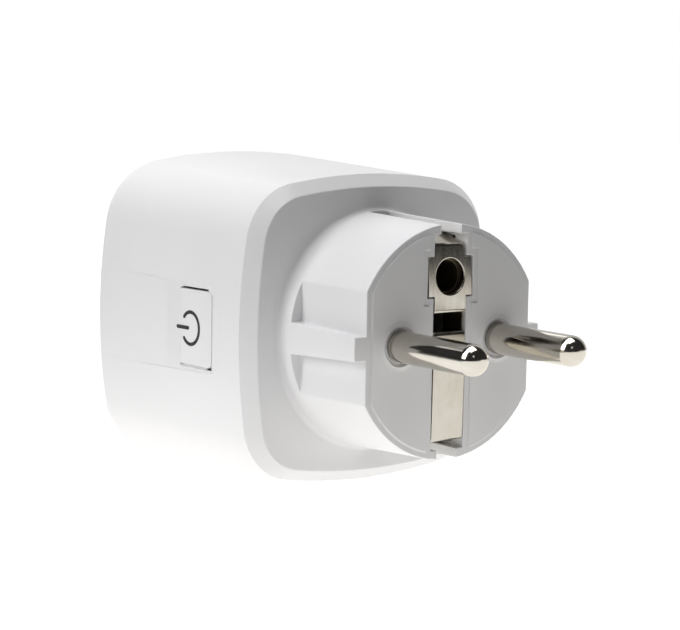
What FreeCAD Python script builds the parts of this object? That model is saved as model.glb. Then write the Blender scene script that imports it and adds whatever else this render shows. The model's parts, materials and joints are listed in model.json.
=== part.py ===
import FreeCAD, Part
import math
import os
import Sketcher

# Plug-in smart socket adapter: an earthed mains plug on one side, an earthed socket on the other.
#
# Frame: +Z up. The origin is the centre of the plug's engagement face, midway between the two pins.
# The pins point along +Y and the body lies behind the face, so "depth" below means distance along -Y.
# The push-button is on the +X side. All lengths are millimetres and all angles are degrees.

FreeCAD.newDocument("SmartPlug")
doc = FreeCAD.ActiveDocument
sheet = doc.addObject("Spreadsheet::Sheet", "Sizes")

DRIVING = {
    # plug pins and the round boss that carries them
    "pin_spacing": 19.0,
    "pin_radius": 2.4,
    "pin_length": 19.0,
    "boss_radius": 18.0,
    "boss_draft": 2.2,
    "flat_half": 15.85,
    "flat_length": 15.5,
    "slot_length": 17.9,
    "rib_half": 1.8,
    "skin": 1.55,
    "boss_wall": 1.8,
    "flat_wall": 1.85,
    "foot_round": 0.9,
    "face_wall": 3.0,
    "pad_rise": 0.25,
    "pad_rim": 0.95,
    "post_length": 9.8,
    "pin_stem": 2.2,
    "pin_post": 4.6,
    "pin_recess": 2.675,
    "pin_sink": 3.65,
    "pin_collar": 3.5,
    "pin_tail": 1.2,
    # body
    "plate_depth": 18.5,
    "edge_depth": 20.75,
    "front_depth": 61.85,
    "face_half": 22.45,
    "edge_half": 24.35,
    "front_half": 26.2,
    "side_bulge": 95.0,
    "corner_round": 9.8,
    "front_round": 3.6,
    "wall": 2.0,
    "front_wall": 2.2,
    "lip_length": 2.5,
    "lip_wall": 1.6,
    "fit_gap": 0.1,
    # earth contacts of the plug
    "strip_half": 3.0,
    "strip_thick": 0.8,
    "strip_sink": 0.4,
    "channel_half": 3.15,
    "slot_half": 1.92,
    "earth_height": 10.0,
    "earth_hole": 2.7,
    "ear_half": 4.15,
    "ear_reach": 2.95,
    "bend_depth": 5.0,
    "fold_depth": 3.8,
    "upper_end": 4.4,
    "lower_end": 1.65,
    "earth_bore": 2.45,
    "earth_outer": 3.2,
    "earth_length": 12.0,
    "strap_half": 2.4,
    "limb_half": 1.6,
    "clip_metal": 0.6,
    # button and the sloped recess it sits in
    "recess_end": 27.3,
    "recess_start": 56.0,
    "recess_half": 6.75,
    "recess_flare": 7.42,
    "recess_floor": 24.1,
    "recess_tilt": 3.16,
    "button_end": 28.5,
    "button_root": 40.6,
    "button_half": 6.0,
    "button_thick": 1.4,
    "button_gap": 0.35,
    "button_round": 0.9,
    "end_ledge": 0.4,
    "gap_length": 37.55,
    "press_depth": 31.0,
    "nib_radius": 0.8,
    # socket
    "well_depth": 17.5,
    "well_radius": 19.7,
    "well_outer": 21.5,
    "flange_radius": 22.6,
    "flange_thick": 1.2,
    "floor_thick": 2.0,
    "socket_hole": 2.75,
    "guide_half": 16.25,
    "guide_height": 8.0,
    "guide_slot": 2.6,
    "guide_drop": 3.0,
    # shutter
    "shutter_reach": 12.8,
    "shutter_thick": 1.3,
    "wing_angle": 19.5,
    "rotor_waist": 2.4,
    "post_radius": 1.5,
    "cover_radius": 14.6,
    "cover_depth": 38.0,
    "cover_thick": 1.4,
    "ear_offset": 16.8,
    # socket contacts
    "sleeve_bore": 2.42,
    "sleeve_wall": 0.68,
    "sleeve_front": 37.8,
    "sleeve_back": 27.0,
    "leg_half": 1.4,
    # electronics
    "board_depth": 23.3,
    "board_thick": 1.6,
    "board_half": 20.5,
    "control_x": 17.0,
    "control_thick": 1.0,
    "control_half": 10.0,
    "control_length": 11.4,
    "switch_side": 6.0,
    "switch_height": 3.0,
    "plunger_radius": 1.6,
    "plunger_top": 21.9,
    "plunger_length": 1.6,
    "screw_x": 15.2,
    "screw_z": 14.6,
    "screw_hole": 1.15,
    "pilot_hole": 0.9,
    "screw_post": 2.2,
}


class Size:
    """A length or angle held both as a number and as the sheet expression that gives it."""

    def __init__(self, value, text):
        self.value = value
        self.text = text

    def _join(self, sign, other, value):
        return Size(value, f"({self.text} {sign} {text_of(other)})")

    def __add__(self, other):
        return self._join("+", other, self.value + number(other))

    def __sub__(self, other):
        return self._join("-", other, self.value - number(other))

    def __mul__(self, other):
        return self._join("*", other, self.value * number(other))

    def __truediv__(self, other):
        return self._join("/", other, self.value / number(other))

    def __neg__(self):
        return Size(-self.value, f"(-1 * {self.text})")

    def __radd__(self, other):
        return fixed(other) + self

    def __rsub__(self, other):
        return fixed(other) - self

    def __rmul__(self, other):
        return fixed(other) * self


def number(item):
    return item.value if isinstance(item, Size) else float(item)


def text_of(item):
    return item.text if isinstance(item, Size) else f"({float(item)!r})"


def fixed(item):
    return item if isinstance(item, Size) else Size(float(item), text_of(item))


def fill_sheet():
    """Writes the driving dimensions to the sheet and returns them by name as Size values."""
    sizes = {}
    for row, (name, value) in enumerate(DRIVING.items(), start=1):
        sheet.set(f"A{row}", name)
        sheet.set(f"B{row}", str(value))
        sheet.setAlias(f"B{row}", name)
        sizes[name] = Size(value, f"Sizes.{name}")
    doc.recompute()
    return sizes


D = fill_sheet()
NONE = fixed(0)
SEAT = 0.05  # air left where one piece rests on or beside another
LEAD = 1.0  # how far a cut starts before, or runs on past, the material that it removes
HALF_GAP = D["pin_spacing"] / 2
PLATE_BACK = D["edge_depth"] - SEAT
BOARD_FRONT = D["control_x"] + D["control_thick"]
POST_END = D["face_wall"] + D["post_length"]
CHANNEL_FLOOR = D["strip_sink"] + D["strip_thick"] + 0.1
FLOOR_DEPTH = D["front_depth"] - D["well_depth"]
FLOOR_BACK = FLOOR_DEPTH - D["floor_thick"]
BOARD_BACK = D["board_depth"] + D["board_thick"]
ON_BOARD = BOARD_BACK + SEAT
COVER_BACK = D["cover_depth"] + D["cover_thick"]
DRAFT = (D["front_half"] - D["edge_half"]) / (D["front_depth"] - D["edge_depth"])
SHOWN = []


# ---------------------------------------------------------------- drawing helpers


def bind(item, path, size):
    item.setExpression(path, text_of(size))


def new_body(label):
    """A named PartDesign body for one sub-part."""
    body = doc.addObject("PartDesign::Body", "Body_" + label)
    body.Label = label
    SHOWN.append(body)
    return body


def keep(item, label):
    """Names a finished Part object as a sub-part."""
    item.Label = label
    SHOWN.append(item)
    return item


def origin_plane(body, role):
    return next(f for f in body.Origin.OriginFeatures if f.Role == role)


def sketch_on(body, name, role, offset):
    """A sketch on one of the body's origin planes, moved along that plane's normal by offset."""
    sketch = body.newObject("Sketcher::SketchObject", name)
    sketch.AttachmentSupport = [(origin_plane(body, role), "")]
    sketch.MapMode = "FlatFace"
    bind(sketch, "AttachmentOffset.Base.z", offset)
    return sketch


def at_depth(body, name, depth):
    """A sketch facing the socket: its x is +X, its y is +Z and its normal points along -Y."""
    return sketch_on(body, name, "XZ_Plane", depth)


def side_view(body, name):
    """A sketch in the middle plane: its x is +Y, its y is +Z and its normal points along +X."""
    return sketch_on(body, name, "YZ_Plane", 0)


def point(x, z):
    return FreeCAD.Vector(number(x), number(z), 0)


def place(sketch, geometry, end, x, z):
    """Fixes one point of a sketch by its distances from the origin."""
    across = sketch.addConstraint(Sketcher.Constraint("DistanceX", -1, 1, geometry, end, number(x)))
    bind(sketch, f"Constraints[{across}]", x)
    up = sketch.addConstraint(Sketcher.Constraint("DistanceY", -1, 1, geometry, end, number(z)))
    bind(sketch, f"Constraints[{up}]", z)


def circle(sketch, x, z, radius):
    curve = sketch.addGeometry(Part.Circle(point(x, z), FreeCAD.Vector(0, 0, 1), number(radius)), False)
    place(sketch, curve, 3, x, z)
    wide = sketch.addConstraint(Sketcher.Constraint("Radius", curve, number(radius)))
    bind(sketch, f"Constraints[{wide}]", radius)


def polygon(sketch, corners):
    """A closed outline of straight lines through corners, each placed from the origin."""
    lines = []
    for here, there in zip(corners, corners[1:] + corners[:1]):
        lines.append(sketch.addGeometry(Part.LineSegment(point(*here), point(*there)), False))
    for line, following in zip(lines, lines[1:] + lines[:1]):
        sketch.addConstraint(Sketcher.Constraint("Coincident", line, 2, following, 1))
    for line, corner in zip(lines, corners):
        place(sketch, line, 1, *corner)


def rectangle(sketch, left, right, low, high):
    polygon(sketch, [(left, low), (right, low), (right, high), (left, high)])


def arc_between(centre, radius, start, end):
    circle_curve = Part.Circle(FreeCAD.Vector(centre[0], centre[1], 0), FreeCAD.Vector(0, 0, 1), radius)
    return Part.ArcOfCircle(circle_curve, start, end)


def bulged_square(sketch, half, bulge, corner):
    """A square with gently convex sides and round corners: eight arcs, each tangent to the next."""
    reach = number(bulge) - number(half)
    span = number(bulge) - number(corner)
    spot = (math.sqrt(2 * span * span - reach * reach) - reach) / 2
    lean = math.atan2(spot, spot + reach)
    arcs = []
    for turn in range(4):
        facing = turn * math.pi / 2
        away = (-reach * math.cos(facing), -reach * math.sin(facing))
        side = arc_between(away, number(bulge), facing - lean, facing + lean)
        diagonal = facing + math.pi / 4
        middle = (spot * math.sqrt(2) * math.cos(diagonal), spot * math.sqrt(2) * math.sin(diagonal))
        bend = arc_between(middle, number(corner), facing + lean, facing + math.pi / 2 - lean)
        arcs.append(sketch.addGeometry(side, False))
        arcs.append(sketch.addGeometry(bend, False))
    for here, there in zip(arcs, arcs[1:] + arcs[:1]):
        sketch.addConstraint(Sketcher.Constraint("Tangent", here, 2, there, 1))
    for turn in range(4):
        across = round(math.cos(turn * math.pi / 2))
        up = round(math.sin(turn * math.pi / 2))
        place(sketch, arcs[2 * turn], 3, (half - bulge) * across, (half - bulge) * up)
        for arc, radius in ((arcs[2 * turn], bulge), (arcs[2 * turn + 1], corner)):
            wide = sketch.addConstraint(Sketcher.Constraint("Radius", arc, number(radius)))
            bind(sketch, f"Constraints[{wide}]", radius)


def pad(body, sketch, length, back=False, middle=False, taper=None):
    """Raises a sketch along its normal, or against it when back is set."""
    feature = body.newObject("PartDesign::Pad", "Pad_" + sketch.Name)
    feature.Profile = sketch
    bind(feature, "Length", length)
    feature.Reversed = back
    feature.Midplane = middle
    if taper is not None:
        bind(feature, "TaperAngle", taper)
    doc.recompute()
    return feature


def pocket(body, sketch, length, along=True, taper=None, middle=False):
    """Cuts along a sketch's normal, or against it when along is False, and proves that it cut."""
    before = body.Shape.Volume
    feature = body.newObject("PartDesign::Pocket", "Cut_" + sketch.Name)
    feature.Profile = sketch
    bind(feature, "Length", length)
    feature.Reversed = along
    feature.Midplane = middle
    if taper is not None:
        bind(feature, "TaperAngle", taper)
    doc.recompute()
    if not body.Shape.Volume < before - 1e-6:
        raise RuntimeError(f"{sketch.Name} of {body.Label} cuts nothing")
    return feature


def loft(body, first, last, cut=False):
    """Joins two sketches by a straight-sided solid, added or cut away."""
    kind = "PartDesign::SubtractiveLoft" if cut else "PartDesign::AdditiveLoft"
    feature = body.newObject(kind, "Loft_" + first.Name)
    feature.Profile = first
    feature.Sections = [last]
    feature.Ruled = True
    doc.recompute()
    return feature


def edges_where(shape, test):
    """Names of the edges whose middle point and curve pass the test."""
    names = []
    for index, edge in enumerate(shape.Edges, start=1):
        middle = edge.valueAt((edge.FirstParameter + edge.LastParameter) / 2)
        if test(edge, middle):
            names.append(f"Edge{index}")
    return names


def dress(body, kind, size, test):
    """Rounds ("Fillet") or bevels ("Chamfer") the chosen edges of a body."""
    tip = body.Tip
    names = edges_where(tip.Shape, test)
    if not names:
        raise RuntimeError(f"no edges to dress on {body.Label}")
    feature = body.newObject("PartDesign::" + kind, f"{kind}_{tip.Name}")
    feature.Base = (tip, names)
    bind(feature, "Radius" if kind == "Fillet" else "Size", size)
    doc.recompute()
    return feature


def near(a, b, slack=0.02):
    return abs(a - number(b)) < slack


def is_circle(edge, radius):
    return isinstance(edge.Curve, Part.Circle) and near(edge.Curve.Radius, radius)


def box(name, x, depth, z, width, length, height):
    """A block from x, from depth and from z, length being how far it runs towards the socket."""
    block = doc.addObject("Part::Box", name)
    bind(block, "Length", width)
    bind(block, "Width", length)
    bind(block, "Height", height)
    bind(block, "Placement.Base.x", x)
    bind(block, "Placement.Base.y", -(fixed(depth) + length))
    bind(block, "Placement.Base.z", z)
    return block


def rod(name, x, depth, z, radius, length):
    """A cylinder with its axis along Y, from depth towards the socket."""
    cylinder = doc.addObject("Part::Cylinder", name)
    bind(cylinder, "Radius", radius)
    bind(cylinder, "Height", length)
    cylinder.Placement.Rotation = FreeCAD.Rotation(FreeCAD.Vector(1, 0, 0), 90)
    bind(cylinder, "Placement.Base.x", x)
    bind(cylinder, "Placement.Base.y", -fixed(depth))
    bind(cylinder, "Placement.Base.z", z)
    return cylinder


def side_rod(name, x, depth, z, radius, length):
    """A cylinder with its axis along +X."""
    cylinder = rod(name, x, depth, z, radius, length)
    cylinder.Placement.Rotation = FreeCAD.Rotation(FreeCAD.Vector(0, 1, 0), 90)
    return cylinder


def join(name, *items):
    fuse = doc.addObject("Part::MultiFuse", name)
    fuse.Shapes = list(items)
    return fuse


def cut(name, base, tool):
    result = doc.addObject("Part::Cut", name)
    result.Base = base
    result.Tool = tool
    return result


def soften(name, base, size, test):
    """A Part::Fillet over the chosen edges."""
    doc.recompute()
    result = doc.addObject("Part::Fillet", name)
    result.Base = base
    numbers = [int(edge[4:]) for edge in edges_where(base.Shape, test)]
    result.Edges = [(index, number(size), number(size)) for index in numbers]
    return result


def along_y(edge, middle):
    return isinstance(edge.Curve, Part.Line) and abs(edge.Curve.Direction.y) > 0.99


# ---------------------------------------------------------------- casing


def outer_outline(body, name, depth, inset):
    """The casing's cross-section at a depth behind the edge, shrunk by inset."""
    widen = (fixed(depth) - D["edge_depth"]) * DRAFT - inset
    sketch = at_depth(body, name, depth)
    bulged_square(sketch, D["edge_half"] + widen, D["side_bulge"] + widen, D["corner_round"] + widen)
    return sketch


def recess_plane(body, name, role="YZ_Plane"):
    """A sketch on the sloped floor of the button recess: its x is nearly +Y, its y is +Z."""
    tilt = D["recess_tilt"]
    slope = Size(math.tan(math.radians(tilt.value)), f"tan({tilt.text})")
    start = D["recess_floor"] - D["recess_end"] * slope
    sketch = sketch_on(body, name, role, start)
    sketch.AttachmentOffset = FreeCAD.Placement(
        FreeCAD.Vector(0, 0, start.value), FreeCAD.Rotation(FreeCAD.Vector(0, 1, 0), tilt.value)
    )
    bind(sketch, "AttachmentOffset.Rotation.Angle", tilt)
    return sketch


def housing_shell():
    """The cup that forms the sides and the socket side, with the recess and the button's opening."""
    body = new_body("housing_shell")
    loft(
        body,
        outer_outline(body, "ShellRim", D["edge_depth"], NONE),
        outer_outline(body, "ShellFront", D["front_depth"], NONE),
    )
    dress(body, "Fillet", D["front_round"], lambda edge, middle: near(middle.y, -D["front_depth"]))
    cavity_front = D["front_depth"] - D["front_wall"]
    opens = D["front_wall"] + LEAD * 2
    loft(
        body,
        outer_outline(body, "CavityRim", D["edge_depth"], D["wall"]),
        outer_outline(body, "CavityFront", cavity_front, D["wall"]),
        cut=True,
    )
    mouth = at_depth(body, "WellHole", cavity_front - LEAD)
    circle(mouth, 0, 0, D["well_outer"] + D["fit_gap"])
    pocket(body, mouth, opens)
    ledge = at_depth(body, "FlangeSeat", D["front_depth"] - D["flange_thick"] - SEAT)
    circle(ledge, 0, 0, D["flange_radius"] + D["fit_gap"])
    pocket(body, ledge, opens)

    recess = recess_plane(body, "Recess")
    polygon(
        recess,
        [
            (-D["recess_end"], -D["recess_half"]),
            (-D["recess_end"], D["recess_half"]),
            (-D["recess_start"], D["recess_flare"]),
            (-D["recess_start"], -D["recess_flare"]),
        ],
    )
    pocket(body, recess, opens)
    corner_y = -D["recess_end"]
    corner_round = 1.3
    dress(
        body,
        "Fillet",
        corner_round,
        lambda edge, middle: near(middle.y, corner_y, 0.2)
        and near(abs(middle.z), D["recess_half"], 0.05)
        and middle.x > D["recess_floor"].value
        and edge.Length < corner_round + 0.2,
    )
    opening = recess_plane(body, "ButtonOpening")
    wide = D["button_half"] + D["button_gap"]
    snug = D["button_half"] + SEAT
    free_end = -(D["recess_end"] + D["end_ledge"])
    root_end = -(D["button_root"] + SEAT)
    polygon(
        opening,
        [
            (free_end, -wide),
            (free_end, wide),
            (-D["gap_length"], wide),
            (-D["gap_length"], snug),
            (root_end, snug),
            (root_end, -snug),
            (-D["gap_length"], -snug),
            (-D["gap_length"], -wide),
        ],
    )
    pocket(body, opening, D["wall"] * 2, along=False)
    dress(
        body,
        "Fillet",
        D["button_round"] + 0.1,
        lambda edge, middle: near(middle.y, free_end, 0.3)
        and near(abs(middle.z), wide, 0.05)
        and abs(edge.tangentAt(edge.FirstParameter).x) > 0.9,
    )
    return body


def boss_cavity(body):
    """The hollow behind the plug face: a circle cut short by two flats."""
    radius = D["boss_radius"] - D["boss_wall"]
    flat = D["flat_half"] - D["flat_wall"]
    angle = math.acos(flat.value / radius.value)
    sketch = at_depth(body, "BossHollow", PLATE_BACK)
    top = sketch.addGeometry(arc_between((0, 0), radius.value, angle, math.pi - angle), False)
    low = sketch.addGeometry(arc_between((0, 0), radius.value, math.pi + angle, 2 * math.pi - angle), False)
    high = radius.value * math.sin(angle)
    left = sketch.addGeometry(Part.LineSegment(point(-flat, high), point(-flat, -high)), False)
    right = sketch.addGeometry(Part.LineSegment(point(flat, -high), point(flat, high)), False)
    for here, there in ((top, left), (left, low), (low, right), (right, top)):
        sketch.addConstraint(Sketcher.Constraint("Coincident", here, 2, there, 1))
    for arc in (top, low):
        sketch.addConstraint(Sketcher.Constraint("Coincident", arc, 3, -1, 1))
        wide = sketch.addConstraint(Sketcher.Constraint("Radius", arc, radius.value))
        bind(sketch, f"Constraints[{wide}]", radius)
    for line, side in ((left, -1), (right, 1)):
        sketch.addConstraint(Sketcher.Constraint("Vertical", line))
        reach = sketch.addConstraint(Sketcher.Constraint("DistanceX", -1, 1, line, 1, side * flat.value))
        bind(sketch, f"Constraints[{reach}]", flat * side)
    pocket(body, sketch, PLATE_BACK - D["face_wall"], along=False)


def face_pads(body):
    """The raised pads of the plug face: a disc cut back at the flats and around the earth strip."""
    side_x = D["flat_half"] - D["pad_rim"]
    channel_x = D["channel_half"] + D["pad_rim"]
    ear_x = D["ear_half"] + D["pad_rim"] + 0.1
    ear_z = D["ear_reach"] + D["pad_rim"] + 0.3
    beyond = D["boss_radius"] + LEAD
    disc = at_depth(body, "PadDisc", -D["pad_rise"])
    circle(disc, 0, 0, D["boss_radius"] - D["pad_rim"])
    pad(body, disc, D["pad_rise"])
    trims = at_depth(body, "PadTrims", -LEAD)
    rectangle(trims, -channel_x, channel_x, -beyond, beyond)
    for side in (1, -1):
        rectangle(trims, side_x * side, beyond * side, -beyond, beyond)
    pocket(body, trims, LEAD)
    notch = at_depth(body, "PadNotch", -LEAD)
    rectangle(notch, -ear_x, ear_x, D["earth_height"] - ear_z, D["earth_height"] + ear_z)
    pocket(body, notch, LEAD)


def plug_base():
    """The bevelled back plate with the plug's boss, closed face and pin posts."""
    body = new_body("plug_base")
    bevel = D["edge_half"] - D["face_half"]
    small = at_depth(body, "PlateFace", D["plate_depth"])
    bulged_square(small, D["face_half"], D["side_bulge"] - bevel, D["corner_round"] - bevel)
    loft(body, small, outer_outline(body, "PlateEdge", D["edge_depth"], NONE))
    lip_inset = D["wall"] + D["fit_gap"]
    pad(body, outer_outline(body, "Lip", D["edge_depth"], lip_inset), D["lip_length"])
    inside = outer_outline(body, "LipInside", PLATE_BACK, lip_inset + D["lip_wall"])
    pocket(body, inside, D["lip_length"] + LEAD)

    boss = at_depth(body, "Boss", NONE)
    circle(boss, 0, 0, D["boss_radius"])
    pad(body, boss, PLATE_BACK - 0.2, taper=D["boss_draft"])
    flats = at_depth(body, "Flats", NONE)
    for side in (1, -1):
        for way in (1, -1):
            inner = D["flat_half"] * side
            rectangle(flats, inner, D["edge_half"] * side, D["rib_half"] * way, D["boss_radius"] * way)
    pocket(body, flats, D["flat_length"], taper=-D["boss_draft"])
    dress(
        body,
        "Fillet",
        D["foot_round"],
        lambda edge, middle: isinstance(edge.Curve, Part.Circle)
        and near(middle.y, -D["plate_depth"])
        and edge.Curve.Radius < D["face_half"].value - 2
        and edge.Curve.Radius > D["boss_radius"].value
        and edge.Curve.Center.Length < D["plate_depth"].value + 0.1,
    )
    boss_cavity(body)
    face_pads(body)

    posts = at_depth(body, "PinPosts", D["face_wall"] - SEAT)
    bores = at_depth(body, "PinBores", -LEAD)
    rings = at_depth(body, "PinRecess", -LEAD)
    sinks = at_depth(body, "PinSink", -D["pad_rise"])
    for side in (1, -1):
        circle(posts, HALF_GAP * side, 0, D["pin_post"])
        circle(bores, HALF_GAP * side, 0, D["pin_stem"] + 0.04)
        circle(rings, HALF_GAP * side, 0, D["pin_recess"])
        circle(sinks, HALF_GAP * side, 0, D["pin_sink"])
    pad(body, posts, D["post_length"] + SEAT)
    pocket(body, bores, POST_END + LEAD * 2)
    pocket(body, rings, LEAD + 1.8)
    pocket(body, sinks, 0.35, taper=-55)

    rim_inner = D["boss_radius"] - D["skin"]
    half = D["channel_half"]
    channel = at_depth(body, "Channel", -LEAD)
    rectangle(channel, -half, half, -rim_inner, rim_inner)
    pocket(body, channel, CHANNEL_FLOOR + LEAD)
    ears = at_depth(body, "EarSeat", -LEAD)
    ear_x = D["ear_half"] + 0.2
    ear_z = D["ear_reach"] + 0.15
    rectangle(ears, -ear_x, ear_x, D["earth_height"] - ear_z, D["earth_height"] + ear_z)
    pocket(body, ears, CHANNEL_FLOOR + LEAD)
    window = at_depth(body, "Window", -LEAD)
    rectangle(window, -half, half, D["lower_end"] - 0.9, D["upper_end"] + 0.9)
    circle(window, 0, D["earth_height"], D["earth_outer"] + 0.3)
    pocket(body, window, D["face_wall"] + LEAD * 1.5)
    legs = at_depth(body, "LegRoom", -LEAD)
    slots = at_depth(body, "ContactSlots", -LEAD)
    gates = at_depth(body, "StrapGates", PLATE_BACK)
    gate_x = D["strap_half"] + 0.6
    for way in (1, -1):
        rectangle(legs, -half, half, (rim_inner - 2.6) * way, rim_inner * way)
        rectangle(slots, -D["slot_half"], D["slot_half"], (rim_inner - LEAD) * way, D["well_outer"] * way)
        rectangle(gates, -gate_x, gate_x, (rim_inner - 1.45) * way, D["edge_half"] * way)
    pocket(body, legs, D["flat_length"] + LEAD)
    pocket(body, slots, D["slot_length"] + LEAD)
    pocket(body, gates, D["lip_length"] + LEAD)

    stands = at_depth(body, "BoardStands", PLATE_BACK - 0.5)
    pilots = at_depth(body, "BoardPilots", D["board_depth"] - 3.5)
    for side in (1, -1):
        circle(stands, D["screw_x"] * side, D["screw_z"], D["screw_post"])
        circle(pilots, D["screw_x"] * side, D["screw_z"], D["pilot_hole"])
    pad(body, stands, D["board_depth"] - SEAT - PLATE_BACK + 0.5)
    pocket(body, pilots, 3.5 + LEAD)
    return body


# ---------------------------------------------------------------- socket


def socket_well():
    """The round socket well with its flange, side guides, pin holes and earth-clip windows."""
    body = new_body("socket_well")
    tube = at_depth(body, "WellTube", FLOOR_BACK)
    circle(tube, 0, 0, D["well_outer"])
    pad(body, tube, D["well_depth"] + D["floor_thick"])
    flange = at_depth(body, "WellFlange", D["front_depth"] - D["flange_thick"])
    circle(flange, 0, 0, D["flange_radius"])
    pad(body, flange, D["flange_thick"])
    hollow = at_depth(body, "WellHollow", FLOOR_DEPTH)
    circle(hollow, 0, 0, D["well_radius"])
    pocket(body, hollow, D["well_depth"] + 1)
    guides = at_depth(body, "WellGuides", FLOOR_DEPTH - 0.3)
    for side in (1, -1):
        inner = D["guide_half"] * side
        outer = (D["well_radius"] + 0.5) * side
        for way in (1, -1):
            rectangle(guides, inner, outer, D["guide_slot"] * way, D["guide_height"] * way)
    pad(body, guides, D["well_depth"] + 0.3 - D["guide_drop"])
    windows = at_depth(body, "ClipWindows", FLOOR_DEPTH + 0.7)
    window_x = D["strap_half"] + 0.4
    for way in (1, -1):
        rectangle(windows, -window_x, window_x, (D["well_radius"] - 1.2) * way, D["flange_radius"] * way)
    pocket(body, windows, D["well_depth"] - 3.6)
    towers = at_depth(body, "CoverTowers", COVER_BACK + SEAT)
    pilots = at_depth(body, "CoverPilots", COVER_BACK - LEAD)
    holes = at_depth(body, "WellPinHoles", FLOOR_BACK - LEAD)
    for side in (1, -1):
        circle(towers, D["ear_offset"] * side, 0, D["screw_post"])
        circle(pilots, D["ear_offset"] * side, 0, D["pilot_hole"])
        circle(holes, HALF_GAP * side, 0, D["socket_hole"])
    pad(body, towers, FLOOR_BACK - COVER_BACK)
    pocket(body, pilots, LEAD + 3.6)
    pocket(body, holes, D["floor_thick"] + LEAD * 2)
    dress(
        body,
        "Fillet",
        0.7,
        lambda edge, middle: is_circle(edge, D["well_radius"]) and near(middle.y, -D["front_depth"]),
    )
    dress(
        body,
        "Chamfer",
        0.5,
        lambda edge, middle: is_circle(edge, D["socket_hole"]) and near(middle.y, -FLOOR_DEPTH),
    )
    return body


def shutter():
    """The two-winged rotor that covers both pin holes at rest."""
    body = new_body("shutter")
    start = FLOOR_BACK - D["shutter_thick"] - 0.1
    disc = at_depth(body, "RotorDisc", start)
    circle(disc, 0, 0, D["shutter_reach"])
    pad(body, disc, D["shutter_thick"])
    spread = math.radians(D["wing_angle"].value)
    tip_x = D["shutter_reach"] * Size(math.cos(spread), "cos(Sizes.wing_angle)")
    tip_z = D["shutter_reach"] * Size(math.sin(spread), "sin(Sizes.wing_angle)")
    stretch = 1.2  # carries each wing's straight side past the disc's rim
    rise = (tip_z - D["rotor_waist"]) * stretch + D["rotor_waist"]
    clear = D["shutter_reach"] + LEAD * 2
    gaps = at_depth(body, "WingGaps", start - LEAD)
    for side in (1, -1):
        polygon(
            gaps,
            [
                (NONE, D["rotor_waist"] * side),
                (tip_x * stretch, rise * side),
                (tip_x * stretch, clear * side),
                (-tip_x * stretch, clear * side),
                (-tip_x * stretch, rise * side),
            ],
        )
    pocket(body, gaps, D["shutter_thick"] + LEAD * 2)
    bore = at_depth(body, "RotorBore", start - LEAD)
    circle(bore, 0, 0, D["post_radius"] + 0.06)
    pocket(body, bore, D["shutter_thick"] + LEAD * 2)
    return body


def shutter_cover():
    """The plate behind the socket floor: it carries the rotor's post and guides the pins."""
    body = new_body("shutter_cover")
    disc = at_depth(body, "CoverDisc", D["cover_depth"])
    circle(disc, 0, 0, D["cover_radius"])
    pad(body, disc, D["cover_thick"])
    ears = at_depth(body, "CoverEars", D["cover_depth"])
    reach = D["ear_offset"] + D["screw_post"]
    rectangle(ears, -reach, reach, -D["screw_post"], D["screw_post"])
    pad(body, ears, D["cover_thick"])
    rim = at_depth(body, "CoverRim", D["cover_depth"])
    circle(rim, 0, 0, D["cover_radius"])
    circle(rim, 0, 0, D["cover_radius"] - 1.2)
    pad(body, rim, FLOOR_BACK - D["cover_depth"] - SEAT)
    post = at_depth(body, "CoverPost", D["cover_depth"])
    circle(post, 0, 0, D["post_radius"])
    pad(body, post, FLOOR_BACK - D["cover_depth"] - SEAT)
    holes = at_depth(body, "CoverHoles", D["cover_depth"] - LEAD)
    for side in (1, -1):
        circle(holes, HALF_GAP * side, 0, D["socket_hole"])
        circle(holes, D["ear_offset"] * side, 0, D["screw_hole"])
    pocket(body, holes, D["cover_thick"] + LEAD * 2)
    return body


def shutter_spring():
    """The light torsion spring around the rotor's post."""
    spring_radius = 2.4
    wire_radius = 0.2
    coil_pitch = 0.45
    first_turn = -(COVER_BACK + wire_radius + 0.1)
    helix = doc.addObject("Part::Helix", "SpringPath")
    helix.Pitch = coil_pitch
    helix.Height = coil_pitch * 2
    helix.Radius = spring_radius
    helix.Placement.Rotation = FreeCAD.Rotation(FreeCAD.Vector(1, 0, 0), 90)
    bind(helix, "Placement.Base.y", first_turn)
    section = doc.addObject("Part::Circle", "SpringSection")
    section.Radius = wire_radius
    bind(section, "Placement.Base.x", spring_radius)
    bind(section, "Placement.Base.y", first_turn)
    sweep = doc.addObject("Part::Sweep", "SpringSweep")
    sweep.Sections = [section]
    sweep.Spine = (helix, ["Edge1"])
    sweep.Solid = True
    sweep.Frenet = True
    return keep(sweep, "shutter_spring")


def contact_sleeve(label, side):
    """A split sleeve that grips one pin, with a leg soldered into the board."""
    outer = D["sleeve_bore"] + D["sleeve_wall"]
    length = D["sleeve_front"] - D["sleeve_back"]
    body = new_body(label)
    ring = at_depth(body, label + "Ring", D["sleeve_back"])
    circle(ring, HALF_GAP * side, 0, outer)
    pad(body, ring, length)
    leg = at_depth(body, label + "Leg", D["board_depth"] - 0.4)
    leg_thick = 0.6
    inner_x = (HALF_GAP + outer - leg_thick) * side
    outer_x = (HALF_GAP + outer) * side
    rectangle(leg, inner_x, outer_x, -D["leg_half"], D["leg_half"])
    pad(body, leg, D["sleeve_back"] + LEAD - D["board_depth"] + 0.4)
    bore = at_depth(body, label + "Bore", D["sleeve_back"] - LEAD)
    circle(bore, HALF_GAP * side, 0, D["sleeve_bore"])
    pocket(body, bore, length + LEAD * 2)
    slit = at_depth(body, label + "Slit", D["sleeve_back"] + LEAD * 1.5)
    slit_half = 0.4
    middle_x = HALF_GAP * side
    rectangle(slit, middle_x - slit_half, middle_x + slit_half, 1, outer + LEAD)
    pocket(body, slit, length)
    return body


# ---------------------------------------------------------------- plug pins and earth parts


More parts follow.
